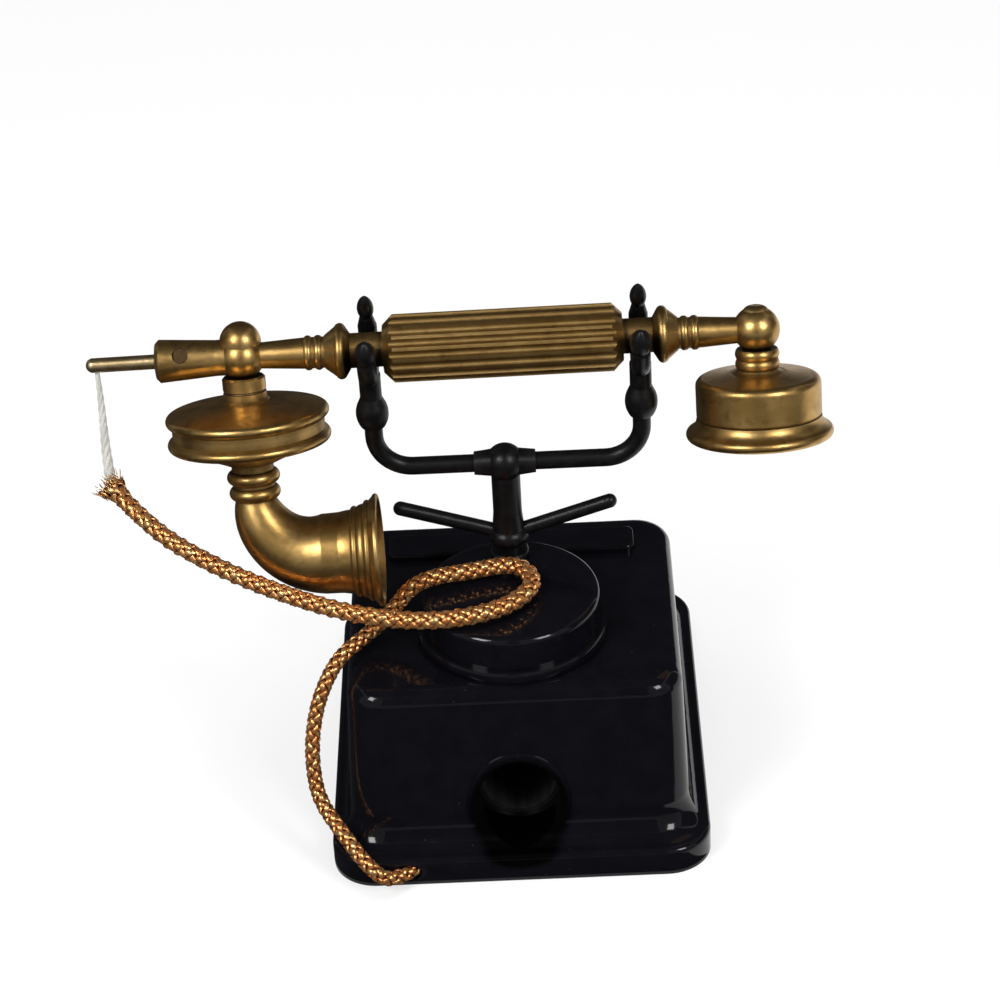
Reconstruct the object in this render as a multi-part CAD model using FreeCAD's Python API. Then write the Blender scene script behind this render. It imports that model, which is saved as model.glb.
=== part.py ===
import FreeCAD, Part
import math
import os

from FreeCAD import Placement, Rotation, Vector

# Small desk-telephone model with a pencil sharpener in its base, in millimetres.
# X runs along the handset, Y goes back from the pencil opening, Z is up.
# The origin is the middle of the resting face.

# Casing
plinth_width = 42.0
plinth_depth = 50.4
plinth_corner = 5.0
rim_height = 3.3
rim_edge = 0.7
cove_rise = 3.4
box_foot_width = 37.6
box_foot_front = 21.6
box_foot_back = 20.0
box_top_width = 36.8
box_top_front = 18.0
box_top_back = 14.8
box_height = 20.8
box_corner = 4.0
top_edge_round = 2.0
wall = 1.3
back_bar_length = 28.4
back_bar_depth = 4.4
back_bar_height = 0.9
back_bar_y = 9.6

# Snap-in bottom plate
plate_width = 36.4
plate_depth = 44.0
plate_corner = 3.2
plate_thickness = 1.5
plate_gap = 0.05
notch_width = 9.0
notch_depth = 1.6
snap_width = 10.0
snap_height = 3.0
snap_thickness = 1.0

# Pencil entry and sharpener
entry_height = 8.0
entry_bore = 9.3
collar_wall = 0.9
collar_proud = 0.25
pencil_bore = 8.2
throat_length = 5.0
block_width = 13.0
block_height = 11.0
block_length = 25.0
cone_length = 17.5
cone_tip_bore = 1.6
ear_width = 4.4
ear_length = 6.0
ear_thickness = 2.2
boss_diameter = 4.2
blade_length = 22.0
blade_width = 6.4
blade_thickness = 0.6
blade_tilt = 13.0
blade_screw_diameter = 2.0
blade_screw_length = 3.0
blade_screw_head = 4.4
blade_screw_head_height = 1.1
blade_screw_place = 0.62
chip_window_short = 4.0
chip_window_start = 3.0
chip_window_depth = 1.2
block_screw_diameter = 1.8
block_screw_head = 3.4
block_screw_head_height = 1.0

# Drum on the top
drum_y = -6.6
drum_diameter = 19.8
drum_height = 5.5
drum_edge = 0.9
drum_ring_diameter = 21.3
drum_ring_height = 1.4
drum_wall = 1.5
drum_pillar = 5.0
drum_screw_diameter = 2.0
drum_screw_head = 4.0
drum_screw_head_height = 1.2

# Cradle
foot_diameter = 4.4
foot_height = 0.9
post_diameter = 3.2
post_root_diameter = 3.8
post_bead_diameter = 4.6
post_bead_height = 2.9
hub_diameter = 4.3
hub_height = 12.4
shoulder_diameter = 3.4
shoulder_reach = 3.4
post_waist = 3.0
tail_diameter = 2.4
nut_flats = 5.0
nut_thickness = 2.0
yoke_span = 29.35
yoke_rod = 2.0
yoke_bend = 4.1
yoke_shift = 0.525
left_rest_reach = 11.9
right_rest_reach = 11.4
rest_arm_slope = 0.33
rest_arm_rod = 1.6
fork_bead_diameter = 3.6
fork_bead_height = 3.0
fork_stem = 2.4
fork_stem_length = 2.4
fork_rod = 2.1
fork_prong = 1.6
fork_lean = 20.0
finial_height = 3.2
finial_width = 2.4
rear_tip = 1.5
rear_finial_width = 1.8

# Handset
handset_axis_height = 53.95
handset_roll = 18.0
handset_tip = 0.5
neck_diameter = 3.8
fork_room = 3.55
grip_length = yoke_span - fork_room
grip_diameter = 7.4
grip_chamfer = 1.1
flute_count = 18
flute_width = 0.95
grip_shift = yoke_shift - 0.025
left_neck_length = 3.55
right_neck_length = 3.2
tie_rod_diameter = 2.0
tie_rod_grip = 4.0
left_collar_diameter = 6.1
left_collar_width = 2.75
collar_rim = 1.1
right_collar_diameter = 6.2
right_collar_width = 2.7
ball_overhang = 13.075
ball_reach = yoke_span / 2 + ball_overhang
ball_diameter = 5.1
ball_flat = 2.1
arm_root_diameter = 3.4
arm_tip_diameter = 2.8
arm_ring_diameter = 3.8
arm_ring_pitch = 1.1
stub_length = 9.2
stub_droop = 0.5
stub_root_diameter = 3.9
stub_end_diameter = 4.7
cross_hole = 1.7
cross_hole_place = 6.4
set_screw_length = 1.2
rivet_diameter = 1.5
rivet_head = 2.8
rivet_head_height = 0.5
rivet_grip = 1.5
crown_diameter = 4.5
crown_height = 1.6

# Transmitter below the left ball
speak_neck_diameter = 4.7
speak_neck_height = 2.6
disc_diameter = 17.8
disc_rim = 1.1
speak_tilt = 1.3
speak_drop = 0.06
speak_rivet_play = 0.12
disc_cone_rise = 1.15
groove_diameter = 16.6
groove_half = 0.8
lower_cone_drop = 2.0
disc_spigot_diameter = 6.0
disc_spigot_height = 0.8
horn_ring_diameter = 5.8
horn_ring_height = 1.5
horn_plain = 0.9
horn_neck_diameter = 4.6
horn_bend = 6.85
horn_root_diameter = 4.4
horn_throat_diameter = 8.8
horn_swell = 0.75
bell_length = 6.3
bell_ring_one = 10.0
bell_ring_two = 11.1
bell_lip_diameter = 12.4
bell_lip_width = 0.6
bell_mouth_diameter = 11.2
bell_depth = 7.0
bell_depth_diameter = 3.2

# Receiver below the right ball
hear_neck_diameter = 4.8
hear_ring_height = 1.1
cup_diameter = 13.6
cup_shoulder_drop = 0.85
cup_side = 4.4
cup_edge = 0.9
cup_wall = 1.2
cap_diameter = 16.0
cap_height = 2.4
cap_lip = 1.3
cap_spigot = 1.4
cap_dish = 0.9
ear_hole = 2.2
ear_ring_hole = 1.1
ear_ring_radius = 3.6
ear_ring_count = 6

# Cord
pin_diameter = 1.6
pin_reach = 6.85
pin_socket = 4.4
thread_diameter = 1.2
thread_length = 13.75
thread_gap = 0.3
cord_diameter = 2.1
cord_socket_depth = 1.7
cord_socket_x = -12.6
cord_socket_turn = 46.0

# Fits
running_gap = 0.04
seat_gap = 0.3

os.makedirs("parts", exist_ok=True)


def save(name, *solids):
    """Write one node, made of one solid or of several alike."""
    shape = solids[0] if len(solids) == 1 else Part.makeCompound(list(solids))
    shape.exportStep("parts/" + name + ".step")
    print("%-20s solids %d volume %.1f" % (name, len(shape.Solids), shape.Volume))


def turned(profile):
    """Revolve a closed (radius, height) outline about Z; three-item steps are arcs by a middle point."""
    edges = []
    last = Vector(profile[0][0], 0, profile[0][1])
    for step in list(profile[1:]) + [profile[0]]:
        if len(step) == 3:
            middle = Vector(step[0][0], 0, step[0][1])
            end = Vector(step[1][0], 0, step[1][1])
            edges.append(Part.Arc(last, middle, end).toShape())
        else:
            end = Vector(step[0], 0, step[1])
            if (end - last).Length > 1e-6:
                edges.append(Part.makeLine(last, end))
        last = end
    face = Part.Face(Part.Wire(edges))
    return face.revolve(Vector(0, 0, 0), Vector(0, 0, 1), 360)


def rod(diameter, start, end):
    """Plain round bar between two points."""
    start, end = Vector(*start), Vector(*end)
    return Part.makeCylinder(diameter / 2, (end - start).Length, start, end - start)


def slab_wire(width, front, back, corner, z):
    """Rounded rectangle at one height, from -front to +back in Y."""
    half = width / 2
    low, high = -front, back
    diagonal = corner * (1 - math.sqrt(0.5))
    corners = [(half, low, -1, 1), (half, high, -1, -1), (-half, high, 1, -1), (-half, low, 1, 1)]
    edges = []
    ends = []
    for count, (x, y, sx, sy) in enumerate(corners):
        along_x = Vector(x + sx * corner, y, z)
        along_y = Vector(x, y + sy * corner, z)
        middle = Vector(x + sx * diagonal, y + sy * diagonal, z)
        pair = (along_x, along_y) if count % 2 == 0 else (along_y, along_x)
        ends.append(pair)
        edges.append(Part.Arc(pair[0], middle, pair[1]).toShape())
    joined = []
    for count in range(4):
        joined.append(edges[count])
        joined.append(Part.makeLine(ends[count][1], ends[(count + 1) % 4][0]))
    return Part.Wire(joined)


def slab(width, front, back, corner, low, high):
    """Upright prism on a rounded rectangle."""
    return Part.Face(slab_wire(width, front, back, corner, low)).extrude(Vector(0, 0, high - low))


def soft_wire(points):
    """Straight runs joined by tangent arcs, and the least arc radius."""
    points = [Vector(*point) for point in points]
    edges = []
    radii = []
    start = points[0]
    for before, corner, after in zip(points, points[1:], points[2:]):
        into = (corner - before).normalize()
        out = (after - corner).normalize()
        turn = into.getAngle(out)
        reach = 0.45 * min((corner - before).Length, (after - corner).Length)
        radius = reach / math.tan(turn / 2)
        enter = corner - into * reach
        leave = corner + out * reach
        inward = (out - into).normalize()
        middle = corner + inward * (radius / math.cos(turn / 2) - radius)
        edges.append(Part.LineSegment(start, enter).toShape())
        edges.append(Part.Arc(enter, middle, leave).toShape())
        radii.append(radius)
        start = leave
    edges.append(Part.LineSegment(start, points[-1]).toShape())
    return Part.Wire(edges), radii


def soft_tube(name, points, diameter):
    """Round cord along a soft route."""
    wire, radii = soft_wire(points)
    heading = Vector(*points[1]) - Vector(*points[0])
    ring = Part.Wire(Part.makeCircle(diameter / 2, Vector(*points[0]), heading))
    tube = wire.makePipeShell([ring], True, False)
    share = tube.Volume / (math.pi * diameter ** 2 / 4 * wire.Length)
    print("%s length %.1f, volume share %.3f, radii %s" % (name, wire.Length, share,
        ["%.1f" % r for r in radii]))
    return tube


# Casing: rim, cove and tapered box lofted from the same rounded outlines
foot_height_z = rim_height + cove_rise
half_depth = plinth_depth / 2
rim = slab(plinth_width, half_depth, half_depth, plinth_corner, 0, rim_height)
rim_top_edges = [edge for edge in rim.Edges if abs(edge.CenterOfMass.z - rim_height) < 1e-6]
rim = rim.makeFillet(rim_edge, rim_top_edges)
cove_levels = 6
cove_wires = []
for level in range(cove_levels):
    share = level / (cove_levels - 1)
    spread = 1 - math.sqrt(max(0.0, 1 - (1 - share) ** 2))
    width = box_foot_width + (plinth_width - 2 * rim_edge - box_foot_width) * spread
    front = box_foot_front + (half_depth - rim_edge - box_foot_front) * spread
    back = box_foot_back + (half_depth - rim_edge - box_foot_back) * spread
    corner = box_corner + (plinth_corner - rim_edge - box_corner) * spread
    cove_wires.append(slab_wire(width, front, back, corner, rim_height + cove_rise * share))
cove = Part.makeLoft(cove_wires, True, False)
foot_wire = slab_wire(box_foot_width, box_foot_front, box_foot_back, box_corner, foot_height_z)
top_wire = slab_wire(box_top_width, box_top_front, box_top_back, box_corner, box_height)
box = Part.makeLoft([foot_wire, top_wire], True, True)
box_top_edges = [edge for edge in box.Edges if abs(edge.CenterOfMass.z - box_height) < 1e-6]
box = box.makeFillet(top_edge_round, box_top_edges)
casing = rim.fuse(cove).fuse(box)

# Raised bar along the back of the top
bar = slab(back_bar_length, back_bar_depth / 2, back_bar_depth / 2, 1.0, box_height - wall / 2,
    box_height + back_bar_height)
bar_top = [edge for edge in bar.Edges if abs(edge.CenterOfMass.z - box_height - back_bar_height) < 1e-6]
bar = bar.makeFillet(0.4, bar_top)
bar.translate(Vector(0, back_bar_y, 0))
casing = casing.fuse(bar)

# Collar round the pencil entry, cut off in the plane of the front wall
front_lean = (box_foot_front - box_top_front) / (box_height - foot_height_z)


def front_wall_y(z):
    return -box_foot_front + front_lean * (z - foot_height_z)


collar_back = front_wall_y(entry_height + entry_bore / 2) + 2.6
collar_diameter = entry_bore + 2 * collar_wall
collar = rod(collar_diameter, (0, -plinth_depth, entry_height), (0, collar_back, entry_height))
wedge_reach = collar_diameter
wedge = Part.makePolygon([
    Vector(-wedge_reach, front_wall_y(0) - collar_proud, 0),
    Vector(-wedge_reach, front_wall_y(box_height) - collar_proud, box_height),
    Vector(-wedge_reach, 0, box_height),
    Vector(-wedge_reach, 0, 0),
    Vector(-wedge_reach, front_wall_y(0) - collar_proud, 0)])
collar = collar.common(Part.Face(wedge).extrude(Vector(2 * wedge_reach, 0, 0)))

# Hollow inside, open below over the bottom plate
roof = box_height - wall
hollow_foot = slab_wire(box_foot_width - 2 * wall, box_foot_front - wall, box_foot_back - wall,
    box_corner - wall, foot_height_z)
hollow_top = slab_wire(box_top_width - 2 * wall, box_top_front - wall, box_top_back - wall,
    box_corner - wall, roof)
hollow = Part.makeLoft([hollow_foot, hollow_top], True, True)
mouth_width = plate_width - 2 * wall
hollow_mouth = slab(mouth_width, box_foot_front - wall, box_foot_back - wall, box_corner - wall, 0,
    foot_height_z)
plate_seat = slab(plate_width + 2 * plate_gap, plate_depth / 2 + plate_gap, plate_depth / 2 + plate_gap,
    plate_corner + plate_gap, -1, plate_thickness)
casing = casing.cut(hollow.fuse(hollow_mouth)).fuse(collar)
casing = casing.cut(plate_seat)
casing = casing.cut(rod(entry_bore, (0, -plinth_depth, entry_height), (0, collar_back + 1, entry_height)))

# Bosses from the roof to the ears of the sharpener block
block_front = collar_back
ear_x = block_width / 2 + ear_width / 2
ear_y = block_front + block_length - ear_length / 2
ear_top = entry_height + ear_thickness / 2
for side in (-1, 1):
    casing = casing.fuse(rod(boss_diameter, (side * ear_x, ear_y, ear_top),
        (side * ear_x, ear_y, roof + wall / 2)))
    boss_bore = rod(block_screw_diameter + 2 * running_gap, (side * ear_x, ear_y, ear_top - 1),
        (side * ear_x, ear_y, roof - wall))
    casing = casing.cut(boss_bore)

# Holes in the roof for the cradle's tail and the drum's screw
casing = casing.cut(rod(tail_diameter + 2 * running_gap, (0, 0, roof - 1), (0, 0, box_height + 1)))
casing = casing.cut(rod(drum_screw_diameter + 2 * running_gap, (0, drum_y, roof - 1),
    (0, drum_y, box_height + 1)))

# Slanted socket for the cord's end in the front of the rim
socket_mouth = Vector(cord_socket_x, -half_depth, rim_height / 2)
socket_heading = Vector(math.cos(math.radians(cord_socket_turn)), math.sin(math.radians(cord_socket_turn)),
    0)
socket_end = socket_mouth + socket_heading * cord_socket_depth
socket = rod(cord_diameter + 2 * running_gap, socket_mouth - socket_heading * 3, socket_end)
casing = casing.cut(socket).removeSplitter()
save("base_casing", casing)

# Bottom plate with a finger notch and two snap tongues
plate = slab(plate_width, plate_depth / 2, plate_depth / 2, plate_corner, 0, plate_thickness)
plate = plate.cut(rod(notch_width, (0, plate_depth / 2 + notch_width / 2 - notch_depth, -1),
    (0, plate_depth / 2 + notch_width / 2 - notch_depth, plate_thickness + 1)))
for side in (-1, 1):
    inner_wall = side * (mouth_width / 2 - plate_gap)
    tongue = Part.makeBox(snap_thickness, snap_width, snap_height + 0.2)
    tongue.translate(Vector(min(inner_wall, inner_wall - side * snap_thickness), -snap_width / 2,
        plate_thickness - 0.2))
    plate = plate.fuse(tongue)
save("base_plate", plate.removeSplitter())

# Sharpener block with a conical bore and two ears
block_low = entry_height - block_height / 2
block = Part.makeBox(block_width, block_length, block_height,
    Vector(-block_width / 2, block_front, block_low))
for side in (-1, 1):
    ear = Part.makeBox(ear_width + 0.4, ear_length, ear_thickness)
    ear_left = side * ear_x - (ear_width + 0.4) / 2 - side * 0.2
    ear.translate(Vector(ear_left, block_front + block_length - ear_length, ear_top - ear_thickness))
    block = block.fuse(ear)
    ear_bore = rod(block_screw_diameter + 2 * running_gap, (side * ear_x, ear_y, 0),
        (side * ear_x, ear_y, ear_top + 1))
    block = block.cut(ear_bore)
throat = rod(pencil_bore, (0, block_front - 1, entry_height),
    (0, block_front + throat_length, entry_height))
cone = Part.makeCone(pencil_bore / 2, cone_tip_bore / 2, cone_length,
    Vector(0, block_front + throat_length, entry_height), Vector(0, 1, 0))
exit_bore = rod(cone_tip_bore, (0, block_front + throat_length, entry_height),
    (0, block_front + block_length + 1, entry_height))
block = block.cut(throat).cut(cone).cut(exit_bore)

# Slanted bed for the blade on the block's top, with the chip window beside it
bed_middle = block_front + block_length - blade_length / 2 - 1.0
bed_height = entry_height + cone_tip_bore / 2 + 1.9
bed_turn = Rotation(Vector(1, 0, 0), -blade_tilt)
bed_place = Placement(Vector(0, bed_middle, bed_height), bed_turn)
bed_cut = Part.makeBox(block_width + 2, 2 * block_length, block_height,
    Vector(-block_width / 2 - 1, -block_length, 0))
bed_cut.Placement = bed_place
front_land = Part.makeBox(block_width + 2, throat_length - 1.5, block_height,
    Vector(-block_width / 2 - 1, block_front, entry_height))
block = block.cut(bed_cut.cut(front_land))
chip_window = Part.makeBox(block_width / 2 + 1, blade_length - chip_window_short, block_height)
chip_window.translate(Vector(0.5, chip_window_start - blade_length / 2, -chip_window_depth))
chip_window.Placement = bed_place.multiply(chip_window.Placement)
block = block.cut(chip_window)
screw_spot = Vector(-blade_width * blade_screw_place, 1.0, 0)
screw_axis = bed_place.Rotation.multVec(Vector(0, 0, 1))
screw_seat = bed_place.multVec(screw_spot)
bore_depth = blade_screw_length + 0.3
screw_bore = Part.makeCylinder(
    blade_screw_diameter / 2 + running_gap, bore_depth + 0.1, screw_seat - screw_axis * bore_depth,
    screw_axis)
block = block.cut(screw_bore).removeSplitter()
save("sharpener_block", block)

# Blade lying on the bed, bored for its screw
blade = Part.makeBox(blade_width, blade_length, blade_thickness,
    Vector(-blade_width + 0.5, -blade_length / 2, 0))
edge_bevel = Part.makePolygon([Vector(0.6, -blade_length, 0), Vector(0.6, -blade_length, 1),
    Vector(-0.6, -blade_length, 1), Vector(0.6, -blade_length, 0)])
blade = blade.cut(Part.Face(edge_bevel).extrude(Vector(0, 2 * blade_length, 0)))
blade = blade.cut(rod(blade_screw_diameter + 2 * running_gap, screw_spot - Vector(0, 0, 1),
    screw_spot + Vector(0, 0, 2)))
blade.Placement = bed_place
blade = blade.cut(Part.makeBox(4 * block_width, throat_length, 4 * block_height,
    Vector(-2 * block_width, block_front - 1.5, 0)))
save("sharpener_blade", blade)

# Screw of the blade, with a slot in its head
head_top = blade_thickness + blade_screw_head_height
screw = turned([
    (0, -blade_screw_length), (blade_screw_diameter / 2, -blade_screw_length),
    (blade_screw_diameter / 2, blade_thickness),
    (blade_screw_head / 2, blade_thickness), (blade_screw_head / 2,
    head_top - blade_screw_head_height * 0.5),
    (blade_screw_head * 0.36, head_top), (0, head_top)])
screw_slot = Part.makeBox(blade_screw_head + 1, 0.6, 0.6,
    Vector(-blade_screw_head / 2 - 0.5, -0.3, head_top - 0.5))
screw = screw.cut(screw_slot)
screw.Placement = Placement(screw_seat, bed_turn)
save("blade_screw", screw)

# Two screws through the block's ears into the bosses
ear_screws = []
for side in (-1, 1):
    low = ear_top - ear_thickness
    ear_screw = rod(block_screw_diameter, (side * ear_x, ear_y, low),
        (side * ear_x, ear_y, roof - wall - 1))
    ear_screws.append(ear_screw.fuse(rod(block_screw_head,
        (side * ear_x, ear_y, low - block_screw_head_height), (side * ear_x, ear_y, low))))
save("block_screws", *ear_screws)

# Drum: flanged turned cap, hollow below, with a pillar for its screw
drum_radius = drum_diameter / 2
ring_radius = drum_ring_diameter / 2
drum = turned([
    (0, 0), (ring_radius - 0.2, 0), ((ring_radius, drum_ring_height / 2),
    (ring_radius - 0.2, drum_ring_height), "arc"),
    (drum_radius, drum_ring_height), (drum_radius, drum_height - drum_edge),
    ((drum_radius - drum_edge * (1 - math.sqrt(0.5)), drum_height - drum_edge * (1 - math.sqrt(0.5))),
    (drum_radius - drum_edge, drum_height), "arc"),
    (0, drum_height)])
drum = drum.cut(turned([(drum_pillar / 2, -1), (drum_radius - drum_wall, -1),
    (drum_radius - drum_wall, drum_height - drum_wall), (drum_pillar / 2, drum_height - drum_wall)]))
drum = drum.cut(rod(drum_screw_diameter + 2 * running_gap, (0, 0, -1), (0, 0, drum_height - drum_wall)))
drum.translate(Vector(0, drum_y, box_height))
drum_top = box_height + drum_height
drum = drum.cut(rod(tail_diameter + 2 * running_gap, (0, 0, box_height - 1), (0, 0, drum_top + 1)))
save("drum_cap", drum)
drum_screw = rod(drum_screw_diameter, (0, drum_y, roof), (0, drum_y, drum_top - drum_wall - 0.8))
drum_screw = drum_screw.fuse(rod(drum_screw_head, (0, drum_y, roof - drum_screw_head_height),
    (0, drum_y, roof)))
save("drum_screw", drum_screw)

# Cradle post: turned column with a lower bead, a hub ball and shoulders for the yoke
hub_z = drum_top + hub_height
bead_z = drum_top + post_bead_height
tail_low = roof - nut_thickness - 0.6
column_low = drum_top + foot_height
post = turned([
    (0, tail_low), (tail_diameter / 2, tail_low), (tail_diameter / 2, drum_top),
    (foot_diameter / 2 - 0.2, drum_top),
    ((foot_diameter / 2, drum_top + foot_height / 2), (foot_diameter / 2 - 0.2, column_low), "arc"),
    (post_root_diameter / 2, column_low), (post_root_diameter / 2, bead_z - 0.9),
    ((post_bead_diameter / 2, bead_z), (post_root_diameter / 2 - 0.1, bead_z + 0.9), "arc"),
    (post_diameter / 2, bead_z + post_waist), (post_diameter / 2, hub_z), (0, hub_z)])
post = post.fuse(Part.makeSphere(hub_diameter / 2, Vector(0, 0, hub_z)))
for side, rest_reach in ((-1, left_rest_reach), (1, right_rest_reach)):
    shoulder = Part.makeCone(shoulder_diameter / 2, yoke_rod / 2 + 0.3, shoulder_reach, Vector(0, 0, hub_z),
        Vector(side, 0, 0))
    post = post.fuse(shoulder)
    rest_tip = Vector(side * rest_reach, 0, bead_z + rest_reach * rest_arm_slope)
    post = post.fuse(rod(rest_arm_rod, (0, 0, bead_z), rest_tip)).fuse(Part.makeSphere(rest_arm_rod / 2,
        rest_tip))
post = post.cut(rod(yoke_rod + 2 * running_gap, (-yoke_span, 0, hub_z), (yoke_span, 0, hub_z)))
save("cradle_post", post)
nut = Part.Face(Part.makePolygon([Vector(nut_flats / math.sqrt(3) * math.cos(math.radians(60 * n)),
    nut_flats / math.sqrt(3) * math.sin(math.radians(60 * n)), roof - nut_thickness) for n in range(7)]))
nut = nut.extrude(Vector(0, 0, nut_thickness)).cut(rod(tail_diameter + 2 * running_gap, (0, 0, 0),
    (0, 0, box_height)))
save("post_nut", nut)

# Yoke: one bent rod through the hub, standing up into the forks
fork_radius = neck_diameter / 2 + seat_gap + fork_rod / 2
fork_low = handset_axis_height - fork_radius
fork_bead_z = fork_low - fork_rod / 2 - fork_stem_length - fork_bead_height / 2
yoke_top = fork_bead_z + fork_bead_height / 2 - 0.7
half_span = yoke_span / 2
bend_mid = yoke_bend * (1 - math.sqrt(0.5))
yoke_edges = [
    Part.LineSegment(Vector(-half_span, 0, yoke_top), Vector(-half_span, 0, hub_z + yoke_bend)).toShape(),
    Part.Arc(Vector(-half_span, 0, hub_z + yoke_bend), Vector(-half_span + bend_mid, 0, hub_z + bend_mid),
    Vector(-half_span + yoke_bend, 0, hub_z)).toShape(),
    Part.LineSegment(Vector(-half_span + yoke_bend, 0, hub_z),
    Vector(half_span - yoke_bend, 0, hub_z)).toShape(),
    Part.Arc(Vector(half_span - yoke_bend, 0, hub_z), Vector(half_span - bend_mid, 0, hub_z + bend_mid),
    Vector(half_span, 0, hub_z + yoke_bend)).toShape(),
    Part.LineSegment(Vector(half_span, 0, hub_z + yoke_bend), Vector(half_span, 0, yoke_top)).toShape()]
yoke_ring = Part.Wire(Part.makeCircle(yoke_rod / 2, Vector(-half_span, 0, yoke_top), Vector(0, 0, -1)))
yoke = Part.Wire(yoke_edges).makePipeShell([yoke_ring], True, False)
yoke.translate(Vector(yoke_shift, 0, 0))
save("cradle_yoke", yoke)

# Forks: socket bead, stem and a round-bottomed fork that leans to the front, with leaf finials
fork_body = turned([
    (0, fork_bead_z - fork_bead_height / 2), (yoke_rod / 2 + 0.35, fork_bead_z - fork_bead_height / 2),
    ((fork_bead_diameter / 2, fork_bead_z), (fork_stem / 2 + 0.25, fork_bead_z + fork_bead_height / 2),
    "arc"),
    (fork_stem / 2, fork_bead_z + fork_bead_height / 2 + 0.6), (fork_stem / 2, fork_low), (0, fork_low)])
fork_middle = Vector(0, 0, handset_axis_height)
fork_hook = Part.makeTorus(fork_radius, fork_rod / 2, fork_middle, Vector(1, 0, 0))
upper_half = Part.makeBox(2 * fork_rod, 4 * fork_radius, 2 * fork_radius)
upper_half.translate(fork_middle - Vector(fork_rod, 2 * fork_radius, 0))
fork_hook = fork_hook.cut(upper_half)
for side, tip_diameter, leaf_width in ((-1, fork_rod, finial_width), (1, rear_tip, rear_finial_width)):
    base = handset_axis_height + fork_prong
    leaf = turned([
        (0, handset_axis_height), (fork_rod / 2, handset_axis_height), (tip_diameter / 2, base - 0.2),
        (tip_diameter / 2 * 0.85, base + 0.1),
        ((leaf_width / 2, base + finial_height * 0.45), (0.15, base + finial_height), "arc"),
        (0, base + finial_height)])
    leaf.translate(Vector(0, side * fork_radius, 0))
    fork_hook = fork_hook.fuse(leaf)
fork_hook.rotate(fork_middle, Vector(1, 0, 0), fork_lean)
fork_body = fork_body.fuse(fork_hook)
fork_body = fork_body.cut(
    rod(yoke_rod + 2 * running_gap, (0, 0, fork_bead_z - fork_bead_height), (0, 0, yoke_top + running_gap)))
for name, side in (("left_fork", -1), ("right_fork", 1)):
    fork = fork_body.copy()
    fork.translate(Vector(side * half_span + yoke_shift, 0, 0))
    save(name, fork)

# The handset is made level about its own axis and rolled into its resting pose
roll = Rotation(Vector(1, 0, 0), -handset_roll)
tip = Rotation(Vector(0, 1, 0), -handset_tip)
resting = Placement(Vector(0, 0, handset_axis_height), roll.multiply(tip))
lay_along = Rotation(Vector(0, 1, 0), 90)


def along_x(shape, x=0.0):
    """Turn a piece made about Z so that its axis is X."""
    shape.Placement = Placement(Vector(x, 0, 0), lay_along)
    return shape


def settle(*shapes):
    """Put handset pieces in their resting pose."""
    moved = []
    for shape in shapes:
        shape = shape.copy()
        shape.Placement = resting.multiply(shape.Placement)
        moved.append(shape)
    return moved


# Fluted grip on a tie rod
half_grip = grip_length / 2
grip_radius = grip_diameter / 2
grip = along_x(turned([
    (tie_rod_diameter / 2 + running_gap, -half_grip), (grip_radius - grip_chamfer, -half_grip),
    (grip_radius, -half_grip + grip_chamfer),
    (grip_radius, half_grip - grip_chamfer), (grip_radius - grip_chamfer, half_grip),
    (tie_rod_diameter / 2 + running_gap, half_grip)]), grip_shift)
flutes = []
for count in range(flute_count):
    angle = 2 * math.pi * count / flute_count
    flute_y = (grip_radius + flute_width * 0.1) * math.cos(angle)
    flute_z = (grip_radius + flute_width * 0.1) * math.sin(angle)
    flutes.append(rod(flute_width, (grip_shift - half_grip, flute_y, flute_z),
        (grip_shift + half_grip, flute_y, flute_z)))
grip = grip.cut(flutes)
save("grip_barrel", *settle(grip))

# Collars with the necks that lie in the forks
neck_radius = neck_diameter / 2
rod_hole = tie_rod_diameter / 2 + running_gap


def collar_piece(neck_length, width, diameter):
    radius = diameter / 2
    rim_start = neck_length + 0.5
    return turned([
        (rod_hole, 0), (neck_radius, 0), (neck_radius, neck_length), (radius - 0.35, rim_start),
        ((radius, rim_start + collar_rim / 2), (radius - 0.35, rim_start + collar_rim), "arc"),
        (arm_root_diameter / 2 + 0.12, neck_length + width), (rod_hole, neck_length + width)])


left_collar = collar_piece(left_neck_length, left_collar_width, left_collar_diameter)
left_collar.Placement = Placement(Vector(grip_shift - half_grip, 0, 0), Rotation(Vector(0, 1, 0), -90))
save("left_collar", *settle(left_collar))
right_collar = along_x(collar_piece(right_neck_length, right_collar_width, right_collar_diameter),
    grip_shift + half_grip)
save("right_collar", *settle(right_collar))
left_arm_start = half_grip - grip_shift + left_neck_length + left_collar_width
right_arm_start = half_grip + grip_shift + right_neck_length + right_collar_width
tie_rod = rod(tie_rod_diameter, (-left_arm_start - tie_rod_grip, 0, 0),
    (right_arm_start + tie_rod_grip, 0, 0))
save("tie_rod", *settle(tie_rod))

# Arms with their balls, flat above and below for the rivets and the necks
ball_radius = ball_diameter / 2


def arm_piece(start):
    """Arm along +X from a collar to its ball, with two rings at the root."""
    root = arm_root_diameter / 2
    ring = arm_ring_diameter / 2
    tip = arm_tip_diameter / 2
    first = start + 0.3
    second = first + arm_ring_pitch
    arm = along_x(turned([
        (0, start), (root, start), (root, first), ((ring, first + 0.4), (root, first + 0.8), "arc"),
        (root, second), ((ring, second + 0.4), (root, second + 0.8), "arc"),
        (tip, ball_reach - ball_radius * 0.7), (tip, ball_reach), (0, ball_reach)]))
    arm = arm.fuse(Part.makeSphere(ball_radius, Vector(ball_reach, 0, 0)))
    trim = Part.makeBox(ball_diameter, ball_diameter, ball_radius,
        Vector(ball_reach - ball_radius, -ball_radius, ball_flat))
    arm = arm.cut(trim)
    trim.translate(Vector(0, 0, -2 * ball_flat - ball_radius))
    return arm.cut(trim)


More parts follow.
